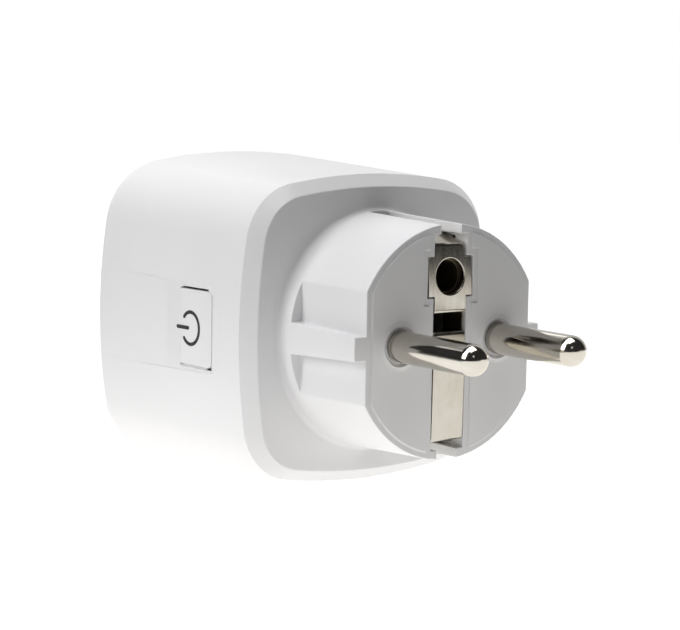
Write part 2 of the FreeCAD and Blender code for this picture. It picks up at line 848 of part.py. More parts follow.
def plug_pin(label, side):
    """A turned pin with a domed end, a collar behind its post and a thin tail into the board."""
    body = new_body(label)
    collar_thick = 1.2
    shaft = at_depth(body, label + "Shaft", -D["pin_length"])
    circle(shaft, HALF_GAP * side, 0, D["pin_radius"])
    pad(body, shaft, D["pin_length"] - D["pad_rise"])
    stem = at_depth(body, label + "Stem", -D["pad_rise"])
    circle(stem, HALF_GAP * side, 0, D["pin_stem"])
    pad(body, stem, POST_END + D["pad_rise"] + collar_thick)
    collar = at_depth(body, label + "Collar", POST_END + SEAT)
    circle(collar, HALF_GAP * side, 0, D["pin_collar"])
    pad(body, collar, collar_thick)
    tail = at_depth(body, label + "Tail", POST_END + collar_thick)
    circle(tail, HALF_GAP * side, 0, D["pin_tail"])
    pad(body, tail, BOARD_BACK + 0.1 - POST_END - collar_thick)
    tip_y = D["pin_length"]
    dress(body, "Fillet", D["pin_radius"] - 0.15, lambda edge, middle: near(middle.y, tip_y))
    return body


def earth_strip(label, side, inner, ears):
    """A bent strip lying in the face channel. Its leg runs back under the boss's skin."""
    front = -D["strip_sink"]
    back = front - D["strip_thick"]
    leg_out = (D["boss_radius"] - D["skin"] - 0.2) * side
    leg_in = leg_out - D["strip_thick"] * side
    bend = leg_out - 1.25 * side
    shoulder = -D["bend_depth"]
    tail = -(D["flat_length"] - 0.3)
    fold = -D["fold_depth"]
    body = new_body(label)
    profile = side_view(body, label + "Profile")
    polygon(
        profile,
        [
            (fold, inner),
            (front, inner),
            (front, bend),
            (shoulder, leg_out),
            (tail, leg_out),
            (tail, leg_in),
            (shoulder, leg_in),
            (back, bend - 0.65 * side),
            (back, inner + D["strip_thick"] * side),
            (fold, inner + D["strip_thick"] * side),
        ],
    )
    pad(body, profile, D["strip_half"] * 2, middle=True)
    dress(
        body,
        "Fillet",
        0.6,
        lambda edge, middle: near(middle.y, front)
        and near(abs(middle.x), 0)
        and (near(middle.z, bend) or near(middle.z, inner)),
    )
    if ears:
        lugs = at_depth(body, label + "Ears", D["strip_sink"])
        low = D["earth_height"] - D["ear_reach"]
        rectangle(lugs, -D["ear_half"], D["ear_half"], low, D["earth_height"] + D["ear_reach"])
        pad(body, lugs, D["strip_thick"])
        hole = at_depth(body, label + "Hole", -LEAD)
        circle(hole, 0, D["earth_height"], D["earth_hole"])
        pocket(body, hole, CHANNEL_FLOOR + LEAD)
        dress(
            body,
            "Chamfer",
            0.12,
            lambda edge, middle: is_circle(edge, D["earth_hole"]) and near(middle.y, front),
        )
    return body


def earth_sleeve():
    """The split sleeve behind the face hole: it grips the earth pin of the other socket system."""
    body = new_body("earth_sleeve")
    start = D["strip_sink"] + D["strip_thick"] + SEAT
    ring = at_depth(body, "EarthRing", start)
    circle(ring, 0, D["earth_height"], D["earth_outer"])
    pad(body, ring, D["earth_length"])
    bore = at_depth(body, "EarthBore", start - LEAD)
    circle(bore, 0, D["earth_height"], D["earth_bore"])
    pocket(body, bore, D["earth_length"] + LEAD * 2)
    slit = at_depth(body, "EarthSlit", start + LEAD)
    slit_half = 0.35
    below = D["earth_height"] - D["earth_outer"] - LEAD
    rectangle(slit, -slit_half, slit_half, below, D["earth_height"])
    pocket(body, slit, D["earth_length"])
    return body


def earth_link():
    """The cross strap behind both plug strips, with a tab that runs forward to the face window."""
    start = D["flat_length"] - 0.2
    top = D["boss_radius"] - D["skin"] - 0.6
    metal = fixed(0.8)
    tab_metal = fixed(0.3)
    tab_start = 1.6
    tab_low = D["lower_end"] + 0.1
    tab_tall = D["upper_end"] - 0.1 - tab_low
    plate = box("LinkPlate", -D["strap_half"], start, -top, D["strap_half"] * 2, metal, top * 2)
    tab_x = D["strap_half"] - tab_metal
    tab = box("LinkTab", tab_x, tab_start, tab_low, tab_metal, start - tab_start + 0.1, tab_tall)
    return keep(join("LinkJoin", plate, tab), "earth_link")


def socket_clip(label, side):
    """A sprung strap: it runs outside the well and folds through the window to touch a plug's edge."""
    metal = D["clip_metal"]
    inner = (D["boss_radius"] - D["skin"] - 1.4) * side
    outer = (D["well_outer"] + 0.1) * side
    lip = (D["well_radius"] - 0.2) * side
    start = -(D["flat_length"] + 0.7)
    turn = -(D["edge_depth"] + metal)
    fold = -(D["front_depth"] - 4.2)
    thick = metal * side
    body = new_body(label)
    strap = side_view(body, label + "Strap")
    polygon(
        strap,
        [
            (start, inner),
            (start, inner - thick),
            (turn - metal, inner - thick),
            (turn - metal, outer),
            (fold + metal, outer),
            (fold + metal, lip),
            (fold, lip),
            (fold, outer + thick),
            (turn, outer + thick),
            (turn, inner),
        ],
    )
    pad(body, strap, D["strap_half"] * 2, middle=True)
    limb = side_view(body, label + "Limb")
    bump = (D["boss_radius"] - 2.1) * side
    rest = (D["well_radius"] - 1.4) * side
    touch = -(D["front_depth"] - 10.4)
    toe = -(FLOOR_DEPTH + 1.4)
    polygon(
        limb,
        [
            (fold, lip),
            (fold + metal, lip),
            (touch, bump + thick),
            (toe, rest),
            (toe, rest - thick),
            (touch, bump),
        ],
    )
    pad(body, limb, D["limb_half"] * 2, middle=True)
    return body


# ---------------------------------------------------------------- button and its switch


def power_button():
    """The tongue pressed from outside. It hinges at its root and pushes the switch with a nib."""
    body = new_body("power_button")
    tongue = recess_plane(body, "Tongue")
    free_end = -D["button_end"]
    rectangle(tongue, -D["button_root"], free_end, -D["button_half"], D["button_half"])
    pad(body, tongue, D["button_thick"], back=True)
    dress(
        body,
        "Fillet",
        D["button_round"],
        lambda edge, middle: near(middle.y, free_end, 0.3)
        and near(abs(middle.z), D["button_half"])
        and abs(edge.tangentAt(edge.FirstParameter).x) > 0.9,
    )
    nib = sketch_on(body, "Nib", "YZ_Plane", D["plunger_top"] + 0.02)
    circle(nib, -D["press_depth"], 0, D["nib_radius"])
    pad(body, nib, D["button_thick"])
    return body


def tact_switch():
    """The switch under the button, standing on the control board, with a bore for its plunger."""
    side = D["switch_side"]
    height = D["switch_height"]
    start = D["press_depth"] - side / 2
    bore_floor = BOARD_FRONT + height - 1.1
    case = box("SwitchCase", BOARD_FRONT, start, -side / 2, height, side, side)
    bore = side_rod("SwitchBore", bore_floor, D["press_depth"], 0, D["plunger_radius"] + SEAT, height)
    return keep(cut("SwitchCut", case, bore), "tact_switch")


def switch_plunger():
    """The switch's short stem, which stands out of the bore under the button's nib."""
    stem = D["plunger_length"]
    foot = D["plunger_top"] - stem
    plunger = side_rod("Plunger", foot, D["press_depth"], 0, D["plunger_radius"], stem)
    return keep(plunger, "switch_plunger")


# ---------------------------------------------------------------- boards and components


def main_board():
    """The power board across the body, pierced for the pins, the contact legs and two screws."""
    body = new_body("main_board")
    outline = at_depth(body, "BoardOutline", D["board_depth"])
    bulged_square(outline, D["board_half"], D["side_bulge"], D["corner_round"] - 3.6)
    pad(body, outline, D["board_thick"])
    holes = at_depth(body, "BoardHoles", D["board_depth"] - LEAD)
    leg_x = HALF_GAP + D["sleeve_bore"] + D["sleeve_wall"]
    hole_z = D["leg_half"] + 0.2
    for side in (1, -1):
        circle(holes, HALF_GAP * side, 0, D["pin_tail"] + 0.15)
        circle(holes, D["screw_x"] * side, D["screw_z"], D["screw_hole"])
        rectangle(holes, (leg_x - 0.75) * side, (leg_x + 0.15) * side, -hole_z, hole_z)
    pocket(body, holes, D["board_thick"] + LEAD * 2)
    return body


def control_board():
    """The upright radio board beside the button, standing on the power board."""
    half = D["control_half"]
    thick = D["control_thick"]
    board = box("ControlPlate", D["control_x"], ON_BOARD, -half, thick, D["control_length"], half * 2)
    return keep(board, "control_board")


def component(label, x, z, width, height, tall, rounding=0.4):
    """A block standing on the main board, centred on x and z, with its long edges rounded."""
    left = x - width / 2
    low = z - height / 2
    block = box(label + "Block", left, ON_BOARD, low, fixed(width), fixed(tall), fixed(height))
    return keep(soften(label + "Soft", block, rounding, along_y), label)


def can(label, x, z, radius, tall):
    """A round component standing on the main board, with a rounded top edge."""
    drum = rod(label + "Drum", x, ON_BOARD, z, fixed(radius), fixed(tall))
    top = -(ON_BOARD + tall)
    rounded = soften(label + "Soft", drum, 0.5, lambda edge, middle: near(middle.y, top))
    return keep(rounded, label)


def varistor():
    """A disc standing on edge on two leads."""
    radius = fixed(4.6)
    thick = fixed(3.6)
    left = -18.4
    middle_z = 1.0
    lead = fixed(0.7)
    lead_spread = 2.25
    disc = side_rod("VaristorDisc", left, ON_BOARD + radius + 1.15, middle_z, radius, thick)
    leads = []
    for way in (1, -1):
        low = middle_z - lead.value / 2 + lead_spread * way
        leads.append(box(f"VaristorLead{way + 1}", left + 1.4, ON_BOARD, low, lead, fixed(3.5), lead))
    return keep(join("VaristorJoin", disc, *leads), "varistor")


def current_shunt():
    """A bent resistance strip that bridges two pads, for the power meter."""
    left = -4.0
    low = -8.4
    span = fixed(7.0)
    metal = fixed(0.6)
    rise = fixed(2.2)
    wide = fixed(2.4)
    parts = [box("ShuntBridge", left, ON_BOARD + rise, low, span, metal, wide)]
    for index, x in enumerate((left, left + span - metal)):
        parts.append(box(f"ShuntFoot{index}", x, ON_BOARD, low, metal, rise + metal / 2, wide))
    return keep(join("ShuntJoin", *parts), "current_shunt")


def radio_shield():
    """The metal can over the radio chip, on the inner side of the control board."""
    rise = fixed(2.3)
    half = fixed(7.0)
    left = D["control_x"] - rise - 0.02
    shield = box("ShieldCan", left, 28.2, -half, rise, fixed(7.8), half * 2)
    soft = soften("ShieldSoft", shield, 0.5, lambda edge, middle: near(middle.x, left) and edge.Length > 1)
    return keep(soft, "radio_shield")


def board_header():
    """The row of contacts that carries the control board."""
    thick = fixed(2.45)
    half = fixed(6.4)
    block = box("HeaderBlock", D["control_x"] - thick - SEAT, ON_BOARD, -half, thick, fixed(2.5), half * 2)
    return keep(block, "board_header")


def status_led():
    """The indicator lamp beside the switch."""
    side = fixed(1.6)
    lamp = box("LedBlock", BOARD_FRONT + 0.02, 34.5, -side / 2, fixed(0.9), side, side)
    return keep(lamp, "status_led")


def screw(name, x, z, seat, way):
    """A pan-head screw along Y. Its shank runs from seat towards the plug (-1) or the socket (1)."""
    head_tall = fixed(1.3)
    shank = fixed(4.6)
    head_start = seat if way < 0 else seat - head_tall
    shank_start = seat - shank if way < 0 else seat
    head = rod(name + "Head", x, head_start, z, fixed(1.9), head_tall)
    body = rod(name + "Shank", x, shank_start, z, fixed(0.85), shank)
    return join(name, head, body)


def screw_pair(label, x, z, seat, way):
    """Two identical screws, at x and -x, kept as one sub-part."""
    group = doc.addObject("Part::Compound", label + "Pair")
    group.Links = [screw(f"{label}{side + 1}", x * side, z, seat, way) for side in (1, -1)]
    return keep(group, label)


def build_all():
    housing_shell()
    plug_base()
    socket_well()
    shutter()
    shutter_cover()
    shutter_spring()
    contact_sleeve("line_contact", 1)
    contact_sleeve("neutral_contact", -1)
    plug_pin("line_pin", 1)
    plug_pin("neutral_pin", -1)
    earth_strip("plug_earth_upper", 1, D["upper_end"], ears=True)
    earth_strip("plug_earth_lower", -1, D["lower_end"], ears=False)
    earth_sleeve()
    earth_link()
    socket_clip("socket_earth_clip_top", 1)
    socket_clip("socket_earth_clip_bottom", -1)
    power_button()
    tact_switch()
    switch_plunger()
    main_board()
    control_board()
    component("relay", 0, 12.6, 20.4, 10.0, 12.5)
    component("film_capacitor", 0, -15.4, 13.0, 6.0, 11.0)
    component("rectifier", 8.2, -8.2, 5.0, 4.4, 2.4, 0.2)
    component("meter_chip", -8.4, -8.4, 4.4, 4.0, 1.5, 0.15)
    can("bulk_capacitor", 13.6, -14.4, 4.0, 11.5)
    can("supply_choke", -13.6, -14.4, 3.75, 9.5)
    can("fuse", -16.6, 9.2, 1.9, 9.0)
    varistor()
    current_shunt()
    radio_shield()
    board_header()
    status_led()
    screw_pair("board_screws", D["screw_x"], D["screw_z"], BOARD_BACK + 0.02, way=-1)
    screw_pair("cover_screws", D["ear_offset"], NONE, D["cover_depth"] - 0.02, way=1)


def check_and_write():
    """Stops on any failed object or bad shape, then writes one STEP file per sub-part."""
    doc.recompute()
    for item in doc.Objects:
        if "Invalid" in item.State or "Error" in item.State:
            raise RuntimeError(f"{item.Name} failed: {item.State}")
    for item in SHOWN:
        shape = item.Shape
        if shape.isNull() or not shape.isValid() or not shape.Solids:
            raise RuntimeError(f"{item.Label} has no valid solid")
    os.makedirs("parts", exist_ok=True)
    for item in SHOWN:
        item.Shape.exportStep(f"parts/{item.Label}.step")


build_all()
check_and_write()
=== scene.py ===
import json
import math

import bmesh
import bpy
from mathutils import Matrix, Vector


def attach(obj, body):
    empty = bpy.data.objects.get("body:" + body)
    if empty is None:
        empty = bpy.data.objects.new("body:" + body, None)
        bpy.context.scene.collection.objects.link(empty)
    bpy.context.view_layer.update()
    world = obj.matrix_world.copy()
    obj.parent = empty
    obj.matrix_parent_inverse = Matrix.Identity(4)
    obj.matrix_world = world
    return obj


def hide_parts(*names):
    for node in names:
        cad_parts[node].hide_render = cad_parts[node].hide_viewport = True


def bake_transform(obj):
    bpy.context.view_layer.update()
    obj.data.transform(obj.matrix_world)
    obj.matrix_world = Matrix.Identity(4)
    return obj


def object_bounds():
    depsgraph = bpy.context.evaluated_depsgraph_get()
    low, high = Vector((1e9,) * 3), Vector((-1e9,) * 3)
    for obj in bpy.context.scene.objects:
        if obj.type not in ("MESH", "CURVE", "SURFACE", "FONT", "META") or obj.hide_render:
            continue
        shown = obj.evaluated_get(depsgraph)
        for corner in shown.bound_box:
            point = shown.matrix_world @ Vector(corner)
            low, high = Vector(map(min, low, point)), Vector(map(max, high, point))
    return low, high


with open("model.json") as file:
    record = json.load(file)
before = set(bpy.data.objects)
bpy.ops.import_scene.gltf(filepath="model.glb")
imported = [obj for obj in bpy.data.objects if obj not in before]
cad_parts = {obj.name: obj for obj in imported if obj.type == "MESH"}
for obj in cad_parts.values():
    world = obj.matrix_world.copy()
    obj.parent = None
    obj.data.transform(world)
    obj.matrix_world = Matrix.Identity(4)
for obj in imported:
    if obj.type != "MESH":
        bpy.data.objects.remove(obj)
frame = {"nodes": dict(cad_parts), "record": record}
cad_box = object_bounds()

# A smart plug: white satin casing, nickel plug pins and earth strips, and a flexing push-button.
# +Y runs along the plug pins, +Z is up and the button is on the +X side. The pieces' sizes and
# places are named in millimetres, and MM turns them into the scene's metres. The studio's are
# metres.

MM = 0.001
SAME_PLACE = 0.01
NODES = frame["nodes"]

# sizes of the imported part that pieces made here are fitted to
PIN_OFFSET = 9.5
EARTH_HOLE_HEIGHT = 10.0

# ---------------------------------------------------------------- small sums


def clamp(value):
    return min(max(value, 0.0), 1.0)


def ease(value):
    """Rises smoothly from 0 to 1 as the value does, and is level outside."""
    value = clamp(value)
    return value * value * (3 - 2 * value)


def at(x, y, z):
    """A point given in millimetres."""
    return Vector((x, y, z)) * MM


def full_turn(steps):
    """The angles of a circle that is cut into equal steps."""
    return [2 * math.pi * i / steps for i in range(steps)]


def rgb(red, green, blue):
    return (red, green, blue, 1.0)


def scaled(colour, gain, lift=0.0, most=1.0):
    """A darker or brighter colour, with no channel above most."""
    return rgb(*[min(channel * gain + lift, most) for channel in colour])


# ---------------------------------------------------------------- node trees


class Tree:
    """A material's or world's node tree, with short calls that add nodes and join them."""

    # a Mix node's sockets when it blends colours
    MIX_AMOUNT, MIX_FIRST, MIX_SECOND, MIX_RESULT = 0, 6, 7, 2

    def __init__(self, owner):
        owner.use_nodes = True
        self.tree = owner.node_tree
        self.tree.nodes.clear()

    def add(self, kind, **settings):
        node = self.tree.nodes.new(kind)
        for name, value in settings.items():
            setattr(node, name, value)
        return node

    def feed(self, node, name, value):
        """Sets an input of a node to a number or colour, or joins it to another node's output."""
        socket = node.inputs[name]
        if isinstance(value, bpy.types.NodeSocket):
            self.tree.links.new(value, socket)
        else:
            socket.default_value = value

    def feed_all(self, node, **values):
        for name, value in values.items():
            self.feed(node, name.replace("_", " "), value)

    def place(self, stretch=(1, 1, 1)):
        """Coordinates in millimetres of the row frame, stretched along each axis."""
        where = self.add("ShaderNodeTexCoord")
        scale = self.add("ShaderNodeMapping")
        self.feed(scale, "Vector", where.outputs["Object"])
        self.feed(scale, "Scale", [s / MM for s in stretch])
        return scale.outputs["Vector"]

    def noise(self, where, scale, detail=3.0, rough=0.55):
        node = self.add("ShaderNodeTexNoise")
        self.feed_all(node, Vector=where, Scale=scale, Detail=detail, Roughness=rough)
        return node.outputs["Fac"]

    def spread(self, value, low, high, start=0.3, end=0.7):
        """Maps value from start..end to low..high."""
        node = self.add("ShaderNodeMapRange")
        self.feed_all(node, Value=value, From_Min=start, From_Max=end, To_Min=low, To_Max=high)
        return node.outputs["Result"]

    def maths(self, kind, first, second):
        node = self.add("ShaderNodeMath", operation=kind)
        self.feed(node, 0, first)
        self.feed(node, 1, second)
        return node.outputs[0]

    def vectors(self, kind, first, second):
        """A sum on two vectors, of a kind whose answer is a number."""
        node = self.add("ShaderNodeVectorMath", operation=kind)
        self.feed(node, 0, first)
        self.feed(node, 1, second)
        return node.outputs["Value"]

    def mix(self, amount, first, second):
        """Blends two colours."""
        node = self.add("ShaderNodeMix", data_type="RGBA")
        self.feed(node, self.MIX_AMOUNT, amount)
        self.feed(node, self.MIX_FIRST, first)
        self.feed(node, self.MIX_SECOND, second)
        return node.outputs[self.MIX_RESULT]

    def bump(self, height, depth, strength=1.0):
        """A bump whose height of 1 is depth metres."""
        node = self.add("ShaderNodeBump")
        self.feed_all(node, Height=height, Distance=depth, Strength=strength)
        return node.outputs["Normal"]

    def edges(self, radius):
        """How far a normal turns when edges are rounded: 0 on a flat, up to 1 at a corner."""
        rounded = self.add("ShaderNodeBevel", samples=4)
        self.feed(rounded, "Radius", radius)
        own = self.add("ShaderNodeNewGeometry")
        agreement = self.vectors("DOT_PRODUCT", rounded.outputs["Normal"], own.outputs["Normal"])
        return self.spread(agreement, 1.0, 0.0, start=0.75, end=0.99)

    def surface(self, **values):
        """The principled shader that ends every material."""
        shader = self.add("ShaderNodeBsdfPrincipled")
        self.feed_all(shader, **values)
        out = self.add("ShaderNodeOutputMaterial")
        self.feed(out, "Surface", shader.outputs[0])
        return shader


# ---------------------------------------------------------------- materials

PLASTIC_GLOW = 0.06
TARNISH = (0.86, 0.82, 0.74)
MASK_GREEN = (0.012, 0.10, 0.045)
TRACE_GREEN = (0.03, 0.20, 0.09)


def satin_plastic(name, colour, roughness=0.42, grain=0.35, depth=2.2e-6):
    """Spark-eroded moulded plastic: fine even grain, slight cloudiness, edges a little glossier,
    and a painted highlight that makes the edges paler.
    """
    material = bpy.data.materials.new(name)
    tree = Tree(material)
    where = tree.place()
    fine = tree.noise(where, 1 / grain, detail=2.0, rough=0.6)
    cloud = tree.noise(where, 0.045, detail=2.0, rough=0.5)
    edge = tree.edges(0.35 * MM)
    tone = tree.mix(tree.spread(cloud, 0.0, 1.0), rgb(*colour), scaled(colour, 0.965))
    # painted highlight: the tone is made paler along rounded edges
    edge_highlight = tree.maths("MULTIPLY", edge, 0.35)
    tone = tree.mix(edge_highlight, tone, scaled(colour, 1.05, most=0.95))
    gloss = tree.spread(fine, roughness - 0.05, roughness + 0.06)
    gloss = tree.maths("SUBTRACT", gloss, tree.maths("MULTIPLY", edge, 0.10))
    grainy = tree.bump(fine, depth)
    shader = tree.surface(Base_Color=tone, Roughness=gloss, IOR=1.49, Normal=grainy)
    tree.feed(shader, "Subsurface Weight", PLASTIC_GLOW)
    tree.feed(shader, "Subsurface Radius", (1.0, 0.95, 0.9))
    tree.feed(shader, "Subsurface Scale", 0.6 * MM)
    return material


def plated_metal(
    name, colour, roughness, stretch=(1, 1, 1), depth=1.2e-6, grain=0.5, dull=0.1
):
    """Nickel or tin plate with drawn marks along one axis, soft tarnish and a painted highlight
    that brightens the edges.
    """
    material = bpy.data.materials.new(name)
    tree = Tree(material)
    marks = tree.noise(tree.place(stretch), 1 / grain, detail=4.0, rough=0.65)
    haze = tree.noise(tree.place(), 0.22)
    edge = tree.edges(0.2 * MM)
    warm = rgb(*[channel * fade for channel, fade in zip(colour, TARNISH)])
    tone = tree.mix(tree.spread(haze, 0.0, 0.55), rgb(*colour), warm)
    # painted highlight: the tone is brightened along rounded edges
    tone = tree.mix(tree.maths("MULTIPLY", edge, 0.5), tone, scaled(colour, 1.12))
    drawn = tree.spread(marks, roughness * 0.75, roughness * 1.3)
    gloss = tree.maths("ADD", drawn, tree.spread(haze, 0.0, dull))
    tree.surface(Base_Color=tone, Roughness=gloss, Metallic=1.0, Normal=tree.bump(marks, depth))
    return material


def printed_ink(name, colour):
    """Pad-printed ink: dark, slightly uneven and a little glossier than the plastic around it."""
    material = bpy.data.materials.new(name)
    tree = Tree(material)
    patch = tree.noise(tree.place(), 4.0, detail=4.0, rough=0.6)
    paler = scaled(colour, 1.8, lift=0.004)
    tree.surface(
        Base_Color=tree.mix(tree.spread(patch, 0.0, 0.5), rgb(*colour), paler),
        Roughness=tree.spread(patch, 0.34, 0.5),
        Normal=tree.bump(patch, 1.5e-6),
    )
    return material


def circuit_board(name):
    """Green solder mask over woven glass, with pale traces showing through."""
    material = bpy.data.materials.new(name)
    tree = Tree(material)
    where = tree.place()
    weave = tree.add("ShaderNodeTexBrick")
    tree.feed_all(weave, Vector=where, Scale=1.6)
    cells = tree.add("ShaderNodeTexVoronoi", feature="DISTANCE_TO_EDGE", distance="MANHATTAN")
    tree.feed_all(cells, Vector=where, Scale=0.55)
    trace = tree.spread(cells.outputs["Distance"], 1.0, 0.0, start=0.05, end=0.08)
    relief = tree.maths("ADD", trace, weave.outputs["Fac"])
    tree.surface(
        Base_Color=tree.mix(trace, rgb(*MASK_GREEN), rgb(*TRACE_GREEN)),
        Roughness=tree.spread(tree.noise(where, 3.0), 0.28, 0.42),
        Normal=tree.bump(relief, 1.5e-5, strength=0.5),
    )
    return material


def moulded_case(name, colour, roughness=0.38, shine=0.0):
    """A component's case: cast or sleeved plastic with a fine grain and a painted highlight that
    makes its edges paler.
    """
    material = bpy.data.materials.new(name)
    tree = Tree(material)
    grain = tree.noise(tree.place(), 2.4, detail=4.0, rough=0.6)
    # painted highlight: the tone is made paler along rounded edges
    paler_edge_highlight = tree.maths("MULTIPLY", tree.edges(0.25 * MM), 0.35)
    tone = tree.mix(tree.spread(grain, 0.0, 0.3), rgb(*colour), scaled(colour, 0.75))
    shader = tree.surface(
        Base_Color=tree.mix(paler_edge_highlight, tone, scaled(colour, 0.7, lift=0.14)),
        Roughness=tree.spread(grain, roughness - 0.06, roughness + 0.08),
        Normal=tree.bump(grain, 3e-6),
    )
    tree.feed(shader, "Coat Weight", shine)
    return material


WHITE = (0.80, 0.80, 0.81)
NICKEL = (0.64, 0.615, 0.565)
STRIP_NICKEL = (0.54, 0.52, 0.47)
ALONG_Y = (1.0, 0.06, 1.0)
ALONG_Z = (1.0, 1.0, 0.08)

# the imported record's material slots
FINISHES = {
    "shell_white": satin_plastic("shell_white_satin", WHITE),
    "base_white": satin_plastic("base_white_satin", (0.78, 0.78, 0.79), 0.40),
    "well_white": satin_plastic("well_white_satin", WHITE, 0.38),
    "button_white": satin_plastic("button_white_satin", WHITE),
    "shutter_white": satin_plastic("shutter_white_satin", (0.74, 0.74, 0.75), 0.34),
    "inner_white": satin_plastic("inner_white_satin", (0.70, 0.70, 0.68), 0.5, 0.6, 5e-6),
    "pin_nickel": plated_metal(
        "pin_nickel_plate", NICKEL, 0.10, ALONG_Y, depth=2.5e-7, grain=0.35, dull=0.05
    ),
    "earth_nickel": plated_metal(
        "earth_nickel_plate", STRIP_NICKEL, 0.17, ALONG_Z, depth=2.0e-7, dull=0.06
    ),
    "clip_nickel": plated_metal(
        "clip_nickel_plate", (0.74, 0.71, 0.65), 0.22, ALONG_Y, depth=3.0e-7, dull=0.06
    ),
    "contact_bronze": plated_metal("contact_bronze_plate", (0.78, 0.60, 0.36), 0.24, ALONG_Y),
    "spring_steel": plated_metal("spring_steel_wire", (0.60, 0.60, 0.61), 0.22),
    "shunt_alloy": plated_metal("shunt_alloy_strip", (0.56, 0.50, 0.45), 0.30),
    "shield_tin": plated_metal("shield_tin_plate", (0.70, 0.70, 0.70), 0.26),
    "screw_steel": plated_metal("screw_steel_zinc", (0.64, 0.64, 0.62), 0.28),
    "board_green": circuit_board("board_green_mask"),
    "switch_black": moulded_case("switch_black_case", (0.02, 0.02, 0.022)),
    "relay_blue": moulded_case("relay_blue_case", (0.02, 0.08, 0.26)),
    "capacitor_yellow": moulded_case("capacitor_yellow_case", (0.72, 0.44, 0.03), 0.3, 0.3),
    "chip_black": moulded_case("chip_black_case", (0.02, 0.02, 0.02), 0.5),
    "can_black": moulded_case("can_black_sleeve", (0.02, 0.02, 0.025), 0.24, 0.4),
    "choke_sleeve": moulded_case("choke_sleeve_case", (0.03, 0.03, 0.03), 0.28, 0.3),
    "fuse_brown": moulded_case("fuse_brown_case", (0.20, 0.09, 0.03)),
    "varistor_blue": moulded_case("varistor_blue_dip", (0.02, 0.10, 0.36), 0.22, 0.5),
    "led_clear": moulded_case("led_clear_lens", (0.80, 0.80, 0.74), 0.15, 0.6),
}
# dull brass and nickel darkened well below their own colour: painted shade on metal deep inside the
# plug
BORE_SHADE_METAL = plated_metal("bore_dull_brass_painted_shade", (0.17, 0.145, 0.10), 0.40, ALONG_Y)
LINK_SHADE_METAL = plated_metal("link_dull_nickel_painted_shade", (0.34, 0.32, 0.28), 0.34, ALONG_Y)
INK = printed_ink("symbol_ink", (0.014, 0.014, 0.016))


def paint_nodes():
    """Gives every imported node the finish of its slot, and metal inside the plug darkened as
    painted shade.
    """
    for part in frame["record"]["subparts"]:
        node = NODES[part["node"]]
        node.data.materials.clear()
        node.data.materials.append(FINISHES[part["material_slot"]])
    NODES["earth_sleeve"].data.materials[0] = BORE_SHADE_METAL
    NODES["earth_link"].data.materials[0] = LINK_SHADE_METAL


# ---------------------------------------------------------------- softened edges

SOFT_SEGMENTS = 3
FLAT_ANGLE = math.radians(0.6)
SHARP_ANGLE = math.radians(28)

# node, width of its soft edges, shortest edge that isn't welded away, and whether the bevel
# keeps its full width beside short edges
SOFT_EDGES = (
    ("housing_shell", 0.12, 0.001, True),
    ("plug_base", 0.16, 0.16, True),
    ("socket_well", 0.20, 0.16, False),
    ("plug_earth_upper", 0.10, 0.001, True),
    ("plug_earth_lower", 0.10, 0.001, True),
)


def smooth_group():
    """The nodes of a modifier that shades every face smooth, before the weighted normals."""
    group = bpy.data.node_groups.new("shade_smooth", "GeometryNodeTree")
    for way in ("INPUT", "OUTPUT"):
        group.interface.new_socket("Geometry", in_out=way, socket_type="NodeSocketGeometry")
    start = group.nodes.new("NodeGroupInput")
    smoother = group.nodes.new("GeometryNodeSetShadeSmooth")
    end = group.nodes.new("NodeGroupOutput")
    group.links.new(start.outputs[0], smoother.inputs["Geometry"])
    group.links.new(smoother.outputs[0], end.inputs[0])
    return group


SMOOTH = smooth_group()


def shade(piece):
    """Smooth shading that keeps flat faces flat."""
    smooth = piece.modifiers.new("smooth", "NODES")
    smooth.node_group = SMOOTH
    even = piece.modifiers.new("even_normals", "WEIGHTED_NORMAL")
    even.weight = 80


def soften(piece, width, smallest, even):
    """Rounds a piece's sharp edges: welds, clears flat faces of seams, bevels, reshades."""
    weld = piece.modifiers.new("weld", "WELD")
    weld.merge_threshold = smallest * MM
    flat = piece.modifiers.new("flat_faces", "DECIMATE")
    flat.decimate_type = "DISSOLVE"
    flat.angle_limit = FLAT_ANGLE
    edge = piece.modifiers.new("soft_edges", "BEVEL")
    edge.width = width * MM
    edge.segments = SOFT_SEGMENTS
    edge.limit_method = "ANGLE"
    edge.angle_limit = SHARP_ANGLE
    edge.use_clamp_overlap = not even
    shade(piece)


# ---------------------------------------------------------------- building meshes


def join_loops(form, first, second):
    """Fills the band between two closed loops with as many vertices each."""
    for i in range(len(first)):
        j = (i + 1) % len(first)
        form.faces.new((first[i], first[j], second[j], second[i]))


def cut(form, place, facing):
    """Cuts all faces along a plane, and keeps both sides."""
    everything = form.verts[:] + form.edges[:] + form.faces[:]
    bmesh.ops.bisect_plane(form, geom=everything, plane_co=place, plane_no=facing)


def spin(form, centre_x, profile, steps=72):
    """Adds a closed ring round an axis along Y: the profile is a loop of (radius, y) points."""
    loops = [
        [
            form.verts.new(at(centre_x + radius * math.cos(a), y, radius * math.sin(a)))
            for a in full_turn(steps)
        ]
        for radius, y in profile
    ]
    for here, there in zip(loops, loops[1:] + loops[:1]):
        join_loops(form, here, there)


def finish_mesh(name, form, material, smooth=False):
    """Turns a built form into an object of the scene."""
    bmesh.ops.recalc_face_normals(form, faces=form.faces)
    mesh = bpy.data.meshes.new(name)
    form.to_mesh(mesh)
    form.free()
    if smooth:
        for face in mesh.polygons:
            face.use_smooth = True
    mesh.materials.append(material)
    piece = bpy.data.objects.new(name, mesh)
    bpy.context.scene.collection.objects.link(piece)
    return piece


def fix_to_housing(piece):
    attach(piece, "housing")


# ---------------------------------------------------------------- the recess's sloped floor

RECESS_TILT = math.radians(3.16)
RECESS_START = 22.593
ARC_STEPS = 8


def on_slope(along, across, proud=0.0):
    """A point on the slope: along runs towards +Y, across is Z, and proud stands off it."""
    tilt_cos, tilt_sin = math.cos(RECESS_TILT), math.sin(RECESS_TILT)
    x = RECESS_START + proud * tilt_cos - along * tilt_sin
    y = along * tilt_cos + proud * tilt_sin
    return at(x, y, across)


